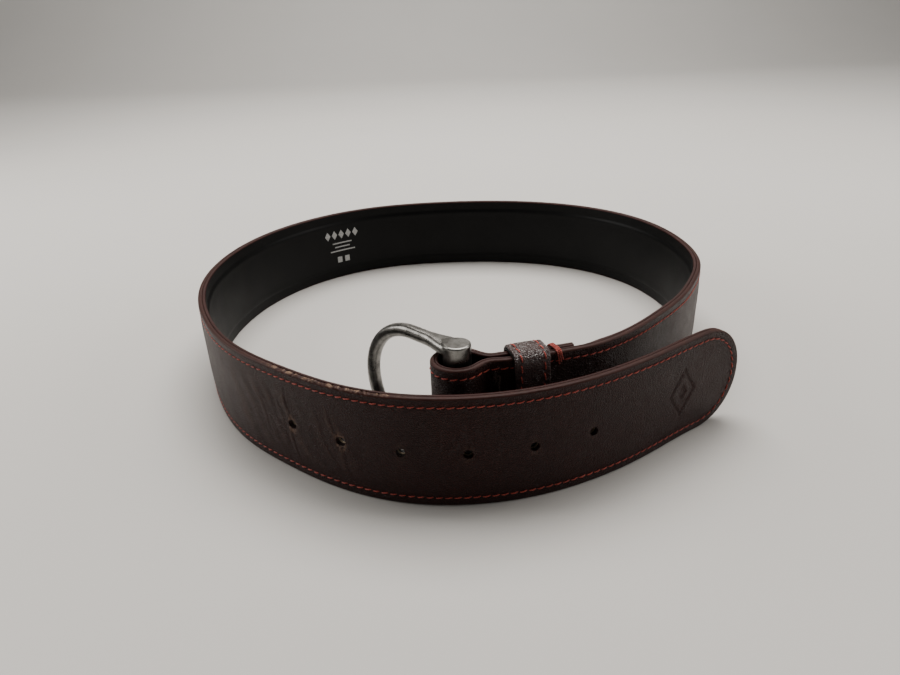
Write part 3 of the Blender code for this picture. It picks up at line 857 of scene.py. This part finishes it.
BAR_RADIUS = 0.00435
RING_HEIGHT = 0.048
RING_REACH = 0.0434
RING_STOCK = 0.0044
RING_AZIMUTH = radians(135)
FLARE_LENGTH = 0.0135
WAIST_RADIUS = 0.0030
WAIST_HALF = 0.0029
PRONG_AZIMUTH = radians(158)
PRONG_LENGTH = 0.0430
PRONG_STRIP = 0.0018
PRONG_STRIP_HEIGHT = 0.0050
PRONG_RADIUS = 0.0014
EYE_CLEARANCE = 0.0002
EYE_TURN = radians(298)


def loft(bm, sections, corners=32):
    rings = []
    for centre, side, up, a, b, power in sections:
        ring = []
        for k in range(corners):
            c, s = cos(2 * pi * k / corners), sin(2 * pi * k / corners)
            x = a * abs(c) ** (2 / power) * (1 if c > 0 else -1)
            y = b * abs(s) ** (2 / power) * (1 if s > 0 else -1)
            ring.append(bm.verts.new(centre + side * x + up * y))
        rings.append(ring)
    for ring, after in zip(rings, rings[1:]):
        for k in range(corners):
            j = (k + 1) % corners
            bm.faces.new((ring[k], ring[j], after[j], after[k]))
    bm.faces.new(rings[0][::-1])
    bm.faces.new(rings[-1])


def lathe(bm, profile, steps=64):
    rings = []
    for radius, height in profile:
        rings.append([
            bm.verts.new((radius * cos(2 * pi * k / steps), radius * sin(2 * pi * k / steps), height))
            for k in range(steps)
        ])
    for ring, after in zip(rings, rings[1:]):
        for k in range(steps):
            j = (k + 1) % steps
            bm.faces.new((ring[k], ring[j], after[j], after[k]))
    bm.faces.new(rings[0][::-1])
    bm.faces.new(rings[-1])


def cast(obj, voxel, rounds):
    """The shapes fused into one skin with soft fillets, as a casting has."""
    remesh = obj.modifiers.new("Fuse", "REMESH")
    remesh.mode = "VOXEL"
    remesh.voxel_size = voxel
    remesh.use_smooth_shade = True
    soften = obj.modifiers.new("Soften", "SMOOTH")
    soften.factor = 0.5
    soften.iterations = rounds
    settle(obj)
    obj.data.shade_smooth()
    return obj


def from_bmesh(name, bm, material, location, turn):
    bmesh.ops.recalc_face_normals(bm, faces=bm.faces)
    mesh = bpy.data.meshes.new(name)
    bm.to_mesh(mesh)
    bm.free()
    mesh.materials.append(material)
    obj = bpy.data.objects.new(name, mesh)
    obj.location = location
    obj.rotation_euler.z = turn
    bpy.context.scene.collection.objects.link(obj)
    return obj


def make_ring():
    half = RING_HEIGHT / 2
    bm = bmesh.new()
    lathe(bm, [
        (BAR_RADIUS - 0.0003, -half), (BAR_RADIUS, -half + 0.0003), (BAR_RADIUS, -WAIST_HALF),
        (WAIST_RADIUS, -WAIST_HALF), (WAIST_RADIUS, WAIST_HALF), (BAR_RADIUS, WAIST_HALF),
        (BAR_RADIUS, half - 0.0003), (BAR_RADIUS - 0.0003, half),
    ])
    stock = RING_STOCK / 2
    bend = half - stock
    straight = RING_REACH - stock - bend
    up = Vector((0, 0, 1))
    side = Vector((0, 1, 0))
    sections = []
    for x in np.linspace(0, straight, 14)[:-1]:
        flare = 1 - float(smoothstep(x, 0.001, FLARE_LENGTH))
        width = stock + (BAR_RADIUS - 0.0001 - stock) * flare
        sections.append((Vector((x, 0, bend)), side, up, width, stock, 2.3 + 0.5 * flare))
    for degrees in range(90, -1, -4):
        out = Vector((cos(radians(degrees)), 0, sin(radians(degrees))))
        sections.append((Vector((straight, 0, 0)) + out * bend, side, out, stock, stock, 2.3))
    sections[-1] = (Vector((straight + bend, 0, 0)), side, Vector((1, 0, 0)), stock, stock, 2.3)
    flip = Vector((1, 1, -1))
    for centre, across, outward, a, b, power in sections[-2::-1]:
        sections.append((centre * flip, across, outward * flip, a, b, power))
    loft(bm, sections)
    ring = from_bmesh("d_ring_casting", bm, NICKEL, BAR + Vector((0, 0, half)), RING_AZIMUTH)
    return cast(ring, 0.00028, 9)


def make_prong():
    radius = WAIST_RADIUS + EYE_CLEARANCE + PRONG_STRIP / 2
    up = Vector((0, 0, 1))
    side = Vector((0, 1, 0))
    sections = []
    steps = 60
    for k in range(steps + 1):
        angle = pi / 2 + EYE_TURN * (1 - k / steps)
        out = Vector((cos(angle), sin(angle), 0))
        sections.append((out * radius, out, up, PRONG_STRIP / 2, PRONG_STRIP_HEIGHT / 2, 4.5))
    end = PRONG_LENGTH
    shape = [
        (0.0000, PRONG_STRIP / 2, PRONG_STRIP_HEIGHT / 2, 4.5), (0.0022, PRONG_STRIP / 2, 0.0024, 4.0),
        (0.0045, 0.0010, 0.0021, 3.2), (0.0070, 0.0012, 0.0017, 2.5), (0.0100, PRONG_RADIUS, PRONG_RADIUS, 2.0),
        (end - 0.0090, PRONG_RADIUS, PRONG_RADIUS, 2.0), (end - 0.0050, 0.00128, 0.0013, 2.0),
        (end - 0.0025, 0.0011, 0.00115, 2.0), (end - 0.0012, 0.0009, 0.0009, 2.0),
        (end - 0.0004, 0.0006, 0.0006, 2.0), (end, 0.0002, 0.0002, 2.0),
    ]
    for x in np.concatenate([np.linspace(0.0004, 0.012, 20), np.linspace(0.013, end - 0.006, 16),
                             np.linspace(end - 0.005, end, 16)]):
        a, b, power = (np.interp(x, [row[0] for row in shape], [row[i] for row in shape]) for i in (1, 2, 3))
        sections.append((Vector((x, radius, 0)), side, up, a, b, power))
    bm = bmesh.new()
    loft(bm, sections)
    prong = from_bmesh("prong_tongue", bm, NICKEL, BAR + Vector((0, 0, RING_HEIGHT / 2)), PRONG_AZIMUTH)
    return cast(prong, 0.00022, 3)


# ---------------------------------------------------------------- keeper

KEEPER_WIDTH = 0.0115
KEEPER_FROM = 0.0156
KEEPER_LEATHER = 0.0009
KEEPER_BACKING = 0.0005
KEEPER_GAP = 0.0001
KEEPER_SLACK_NEAR = 0.0007
KEEPER_SLACK_FAR = 0.0017
KEEPER_SLACK_EDGE = 0.0003
KEEPER_CORNER = 0.0012
KEEPER_STITCH_INSET = 0.002


def keeper_outline(wall, steps=7):
    """The keeper's outline across the strap, at a wall thickness outside its inner face."""
    near = -STACK / 2 - KEEPER_SLACK_NEAR - wall
    far = STACK / 2 + KEEPER_SLACK_FAR + wall
    top = MIDDLE + KEEPER_SLACK_EDGE + wall
    radius = KEEPER_CORNER + wall
    corners = []
    for x, z, start in ((far, top, 0), (near, top, 90), (near, -top, 180), (far, -top, 270)):
        centre = np.array([x - radius * np.sign(x), z - radius * np.sign(z)])
        for degrees in np.linspace(start, start + 90, steps):
            corners.append(centre + radius * np.array([cos(radians(degrees)), sin(radians(degrees))]))
    points = []
    for one, other in zip(corners, corners[1:] + corners[:1]):
        pieces = max(round(float(np.linalg.norm(other - one)) / 0.0022), 1)
        points += [tuple(one + (other - one) * k / pieces) for k in range(pieces)]
    return points


def keeper_place(x, across, up):
    """Model space from the keeper's own frame: along the strap, across it and up."""
    cx, cy = buckle_point(KEEPER_FROM + KEEPER_WIDTH / 2 + x, STRAP_SIDE + STACK / 2 + across)
    return np.array([cx - CENTRE[0], cy - CENTRE[1], STRAP_MIDDLE + up])


def keeper_band(name, inner, thickness, material, grooves):
    """A closed band round the strap: a bullnosed strip, swept round the keeper's outline."""
    half = KEEPER_WIDTH / 2
    radius = thickness * 0.48
    face = [half - radius - step * MM for step in (0.15, 0.5, 0.9, 1.3, 1.5, 1.8, 2.1, 2.5, 3.2, 4.0)]
    xs = face + [0] + [-x for x in face[::-1]]
    strip = []
    for x in xs:
        dome = 0.16 * (1 - (x / half) ** 2) * MM
        groove = 0.16 * MM * bump(abs(x), half - KEEPER_STITCH_INSET, 0.0004)
        strip.append((x, thickness + (dome - groove if grooves else 0)))
    for degrees in range(75, -76, -25):
        strip.append((-half + radius - radius * cos(radians(degrees)), thickness / 2 + radius * sin(radians(degrees))))
    strip += [(-half + 0.001, 0), (0, 0), (half - 0.001, 0)]
    for degrees in range(-75, 76, 25):
        strip.append((half - radius + radius * cos(radians(degrees)), thickness / 2 + radius * sin(radians(degrees))))
    loops = [keeper_outline(inner + out) for _, out in strip]
    count = len(loops[0])
    points = []
    for (x, _), loop in zip(strip, loops):
        for k, (across, up) in enumerate(loop):
            sway = 0.00012 * sin(up * 260) + 0.00008 * sin(up * 610 + 1)
            points.append(keeper_place(x + sway, across, up))
    faces = []
    for i in range(len(strip)):
        a, b = i * count, ((i + 1) % len(strip)) * count
        for k in range(count):
            j = (k + 1) % count
            faces.append((a + k, b + k, b + j, a + j))
    return outward(mesh_object(name, points, faces, [material], 60))


def keeper_stitches(name, x):
    tubes = Tubes()
    outline = np.array(keeper_outline(KEEPER_BACKING + KEEPER_GAP + KEEPER_LEATHER + 0.00002, 12))
    outline = np.concatenate([outline, outline[:1]])
    run = np.concatenate([[0], np.cumsum(np.linalg.norm(np.diff(outline, axis=0), axis=1))])
    centre = outline.mean(axis=0)
    random = np.random.default_rng(11)
    pitch = 0.0036
    for start in np.arange(0, run[-1] - pitch, pitch):
        t = np.linspace(0, 1, 8)
        where = start + t * 0.0027
        path = np.stack([np.interp(where, run, outline[:, axis]) for axis in (0, 1)], axis=1)
        way = np.gradient(path, axis=0)
        way /= np.linalg.norm(way, axis=1)[:, None]
        out = np.stack([way[:, 1], -way[:, 0]], axis=1)
        out *= np.sign(((path - centre) * out).sum(axis=1))[:, None]
        lift = -0.00022 + 0.0004 * np.sin(pi * t) ** 0.6
        slant = (t - 0.5) * (0.0004 + random.uniform(-0.0001, 0.0001))
        spots = path + out * lift[:, None]
        centres = [keeper_place(x + s, across, up) for s, (across, up) in zip(slant, spots)]
        tubes.add(centres, 0.00022 * (0.72 + 0.28 * np.sin(pi * t) ** 0.6))
    return tubes.object(name, RED)


# ---------------------------------------------------------------- hand threads

OVERCAST_AT = 0.0300


def over_edge(along, rise, stand_off, drop, slant):
    """Points of a thread over an edge of the doubled strap, from the near face to the far one."""
    near, far = STRAP_SIDE - stand_off, STRAP_SIDE + STACK + stand_off
    edge = MIDDLE + stand_off
    corner = 0.0011
    outline = [(near + 0.0004, edge - drop), (near, edge - drop + 0.0008), (near, edge - 2 * corner)]
    outline += [(near + corner * 0.25, edge - corner * 0.5), (near + corner, edge), (0.5 * (near + far), edge + 0.0001)]
    outline += [(far - corner, edge), (far - corner * 0.25, edge - corner * 0.5), (far, edge - 2 * corner)]
    outline += [(far, edge - drop + 0.0008), (far - 0.0004, edge - drop)]
    points = []
    for k, (across, up) in enumerate(outline):
        x, y = buckle_point(along + slant * (1 - 2 * k / (len(outline) - 1)), across)
        points.append((x - CENTRE[0], y - CENTRE[1], STRAP_MIDDLE + rise * up))
    return rounded(points, 40)


def rounded(points, count):
    """A smooth run through a few points."""
    p = np.array(points, float)
    for _ in range(3):
        cut_points = [p[0]]
        for a, b in zip(p, p[1:]):
            cut_points += [0.75 * a + 0.25 * b, 0.25 * a + 0.75 * b]
        p = np.array(cut_points + [p[-1]])
    run = np.concatenate([[0], np.cumsum(np.linalg.norm(np.diff(p, axis=0), axis=1))])
    even = np.linspace(0, run[-1], count)
    return np.stack([np.interp(even, run, p[:, axis]) for axis in range(3)], axis=1)


def twisted(tubes, points, radius, turns):
    """A two-ply thread along the points."""
    side, up = frames(points)
    t = np.linspace(0, 2 * pi * turns, len(points))
    for phase in (0, pi):
        off = side * np.cos(t + phase)[:, None] + up * np.sin(t + phase)[:, None]
        tubes.add(points + off * radius * 0.55, np.full(len(points), radius * 0.72))


def fibres(tubes, centre, spread, count, seed, length=0.0022):
    """Loose hairs round a point of the outer face, given as (length, height)."""
    random = np.random.default_rng(seed)
    for _ in range(count):
        l0 = centre[0] + random.normal(0, spread[0])
        h0 = min(max(centre[1] + random.normal(0, spread[1]), 0.003), WIDTH - 0.002)
        heading = random.uniform(0, 2 * pi)
        size = length * random.uniform(0.5, 1.3)
        t = np.linspace(0, 1, 6)
        curl = random.uniform(-1.2, 1.2)
        l = l0 + size * t * np.cos(heading + curl * t)
        h = h0 + size * t * np.sin(heading + curl * t)
        lift = -0.00008 - random.uniform(0.0001, 0.0006) * np.sin(pi * t)
        tubes.add(at(l, h, lift), 0.00006 * (1 - 0.6 * t))


def make_overcast(name, rise, seed):
    tubes = Tubes(7)
    for k in range(3):
        spread = 0.00055 * (k - 1)
        points = over_edge(OVERCAST_AT + spread, rise, 0.00052 + 0.00006 * k, 0.0046 - 0.0006 * k, 0.0011)
        twisted(tubes, points, 0.00023, 9)
    return tubes.object(name, RED)


def make_neck_threads():
    """Vertical hand stitches that close the neck, on the near face and on the flap's face, with
    loose hairs on the side of the bar."""
    made = []
    for name, seam, way, seed in (("neck_threads_front", SEAMS[0], 1, 21), ("neck_threads_back", SEAMS[1], -1, 22)):
        tubes = Tubes(6)
        for k, start in enumerate(np.arange(0.0046, 0.0325, 0.0031)):
            t = np.linspace(0, 1, 18)
            lean = 0.0003 * (1 if k % 2 else -1)
            depth = 0.00025 - 0.0005 * np.sin(pi * t) ** 0.5
            points = at(seam + lean * (t - 0.5), start + 0.0028 * t, depth)
            twisted(tubes, points, 0.00026, 4)
        fibres(tubes, (seam + 0.0012 * way, 0.0325), (0.0004, 0.0014), 44, seed, 0.0010)
        fibres(tubes, (seam + 0.0010 * way, 0.019), (0.0003, 0.008), 40, seed + 5, 0.0009)
        made.append(tubes.object(name, BROWN))
    return made


def make_fraying():
    """Pale leather fibres pulled up along the worn stretch of the top edge."""
    random = np.random.default_rng(31)
    tubes = Tubes(5)
    for _ in range(150):
        length = random.triangular(0.126, 0.150, 0.182)
        height = WIDTH - 0.0001 - float(torn(np.array(length)))
        t = np.linspace(0, 1, 5)
        size = random.uniform(0.0003, 0.0010)
        lean = random.uniform(-1, 1)
        depth = random.uniform(0.0003, 0.0010) - 0.0001 * np.sin(pi * t)
        tubes.add(at(length + lean * size * t, height + 0.00045 * np.sin(pi * t) * random.uniform(0.2, 1), depth),
                  0.00005 * (1 - 0.5 * t))
    return tubes.object("edge_fraying", FRAY)


# ---------------------------------------------------------------- building and riding


def strap_pieces():
    skins = [OXBLOOD, EDGE]
    front = layer("leather_front", 0, SPLIT, outer_face, outer_back, skins, 0.0006)
    rear = layer("leather_rear", SPLIT, LINE_LENGTH, outer_face, outer_back, skins, 0.0006)
    insides = [BLACK, EDGE]
    lining_front = layer("lining_front", 0, SPLIT, lining_face, lining_inner, insides, 0.00050, False)
    lining_rear = layer("lining_rear", SPLIT, LINE_LENGTH, lining_face, lining_inner, insides, 0.00050, False)
    board_front = filler("core_front", 0.0125, SPLIT, BOARD)
    board_rear = filler("core_rear", SPLIT, CORE_ENDS, BOARD)
    tools = punches()
    for piece in (front, lining_front, board_front):
        cut(piece, tools)
    slot = slot_tool()
    for piece in (rear, lining_rear):
        cut(piece, [slot])
    scrap(tools + [slot])
    stitches_front, stitches_rear = make_stitching()
    fraying = make_fraying()
    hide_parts("outer_leather_billet")
    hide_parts("outer_leather")
    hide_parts("lining_billet")
    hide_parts("lining")
    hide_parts("core_board_billet")
    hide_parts("core_board")
    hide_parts("stitching_billet")
    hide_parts("stitching_top", "stitching_bottom")
    for piece in (front, lining_front, board_front, stitches_front, fraying):
        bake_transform(piece)
    for piece in (rear, lining_rear, board_rear, stitches_rear):
        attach(piece, "strap")


def hand_sewn_pieces():
    print_marks = make_print()
    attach(print_marks, "strap")
    top = make_overcast("overcast_top", 1, 41)
    bottom = make_overcast("overcast_bottom", -1, 42)
    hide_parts("overcast_thread_top")
    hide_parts("overcast_thread_bottom")
    front, back = make_neck_threads()
    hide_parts("neck_stitching_front")
    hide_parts("neck_stitching_back")
    for piece, finish in ((top, "red_thread"), (bottom, "red_thread"), (front, "brown_thread"), (back, "brown_thread")):
        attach(piece, "strap")


def buckle_pieces():
    ring = make_ring()
    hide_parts("d_ring")
    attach(ring, "ring")
    prong = make_prong()
    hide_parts("prong")
    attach(prong, "prong")


def keeper_pieces():
    backing = keeper_band("keeper_inner_band", 0, KEEPER_BACKING, BLACK, False)
    outer = keeper_band("keeper_outer_band", KEEPER_BACKING + KEEPER_GAP, KEEPER_LEATHER, KEEPER_SKIN, True)
    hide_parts("keeper_backing")
    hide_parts("keeper_outer")
    inset = KEEPER_WIDTH / 2 - KEEPER_STITCH_INSET
    left = keeper_stitches("keeper_stitches_left", -inset)
    right = keeper_stitches("keeper_stitches_right", inset)
    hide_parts("keeper_stitching_left")
    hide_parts("keeper_stitching_right")
    for piece in (backing, outer, left, right):
        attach(piece, "keeper")


# ---------------------------------------------------------------- studio


def area_light(name, place, aim, size, power, color=(1, 1, 1)):
    light = bpy.data.lights.new(name, "AREA")
    light.shape = "RECTANGLE"
    light.size, light.size_y = size
    light.energy = power
    light.color = color
    obj = bpy.data.objects.new(name, light)
    obj.location = place
    obj.rotation_euler = (Vector(aim) - Vector(place)).to_track_quat("-Z", "Y").to_euler()
    bpy.context.scene.collection.objects.link(obj)


def make_studio():
    profile = [(-14.0, 0.0), (1.7, 0.0)]
    for degrees in range(6, 91, 6):
        profile.append((1.7 + 0.9 * sin(radians(degrees)), 0.9 - 0.9 * cos(radians(degrees))))
    profile.append((2.6, 4.0))
    points = [(x, y, z) for y, z in profile for x in (-6.0, 6.0)]
    faces = [(2 * i, 2 * i + 1, 2 * i + 3, 2 * i + 2) for i in range(len(profile) - 1)]
    floor = mesh_object("studio_floor", points, faces, [floor_material()], 80)
    world = bpy.data.worlds.new("studio")
    world.use_nodes = True
    backdrop = world.node_tree.nodes["Background"]
    backdrop.inputs["Color"].default_value = (1.0, 0.975, 0.94, 1)
    backdrop.inputs["Strength"].default_value = 0.17
    bpy.context.scene.world = world
    area_light("overhead", (0.05, 0.42, 1.15), (0, 0.02, 0), (1.1, 0.8), 24, (1.0, 0.96, 0.915))
    area_light("backdrop_wash", (0, 1.1, 1.5), (0, 2.3, 0.5), (1.6, 0.5), 26, (1.0, 0.975, 0.945))
    area_light("left_side", (-0.80, 0.12, 0.40), (0, -0.02, 0.02), (0.4, 0.5), 3.5, (1.0, 0.975, 0.94))
    area_light("right_side", (0.85, 0.02, 0.45), (0.05, -0.05, 0.02), (0.4, 0.5), 2.75, (1.0, 0.96, 0.92))


def make_camera():
    """Low in front of the belt, pitched down and rolled a little."""
    data = bpy.data.cameras.new("camera")
    data.lens = 26
    data.sensor_width = 36
    data.clip_start = 0.01
    camera = bpy.data.objects.new("camera", data)
    camera.location = (-CENTRE[0], -CENTRE[1], 0.1323)
    pitch = Matrix.Rotation(radians(90 - 25.4), 4, "X")
    roll = Matrix.Rotation(radians(-2.3), 4, "Z")
    camera.rotation_euler = (pitch @ roll).to_euler()
    bpy.context.scene.collection.objects.link(camera)
    bpy.context.scene.camera = camera


strap_pieces()
hand_sewn_pieces()
buckle_pieces()
keeper_pieces()
make_studio()
make_camera()


def plain(bounds):
    return [[float(value) for value in corner] for corner in bounds]
